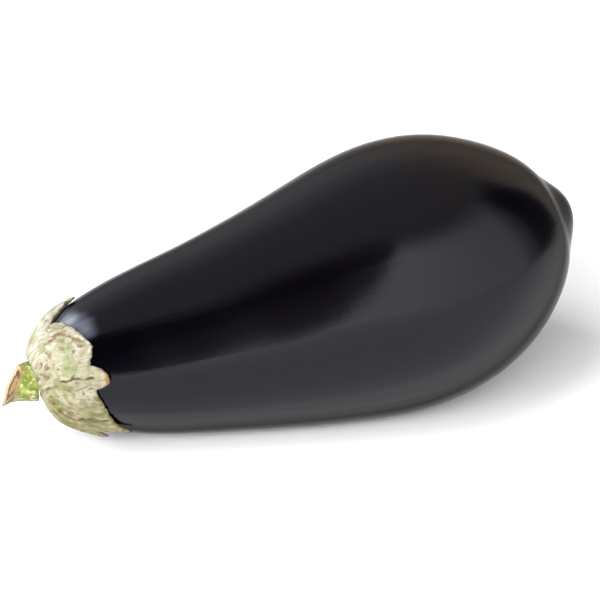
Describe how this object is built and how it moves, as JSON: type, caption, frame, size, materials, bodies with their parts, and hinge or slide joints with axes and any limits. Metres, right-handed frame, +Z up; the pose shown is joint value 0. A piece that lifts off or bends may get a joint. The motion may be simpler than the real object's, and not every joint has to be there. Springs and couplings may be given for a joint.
{
  "type": "eggplant",
  "caption": "Whole eggplant lying on its side: a glossy near-black fruit with a pale lobed calyx and a short cut stem.",
  "frame": {"origin": "on the small flat spot that the fruit rests on, straight under its weight", "axes": "+X along the fruit from its stem to its blossom end, +Y towards its far side, +Z up"},
  "size_m": [0.2128, 0.0978, 0.1003],
  "materials": {
    "skin": "smooth glossy waxy skin, near-black with a blue-purple cast",
    "sepal": "dry matte cream-green sepals with brown scars and veins",
    "stalk": "matte yellow-green fibrous stalk with a brown-rimmed cut end"
  },
  "bodies": {
    "root": {"fruit": "skin", "calyx": "sepal", "stem": "stalk"}
  },
  "joints": []
}
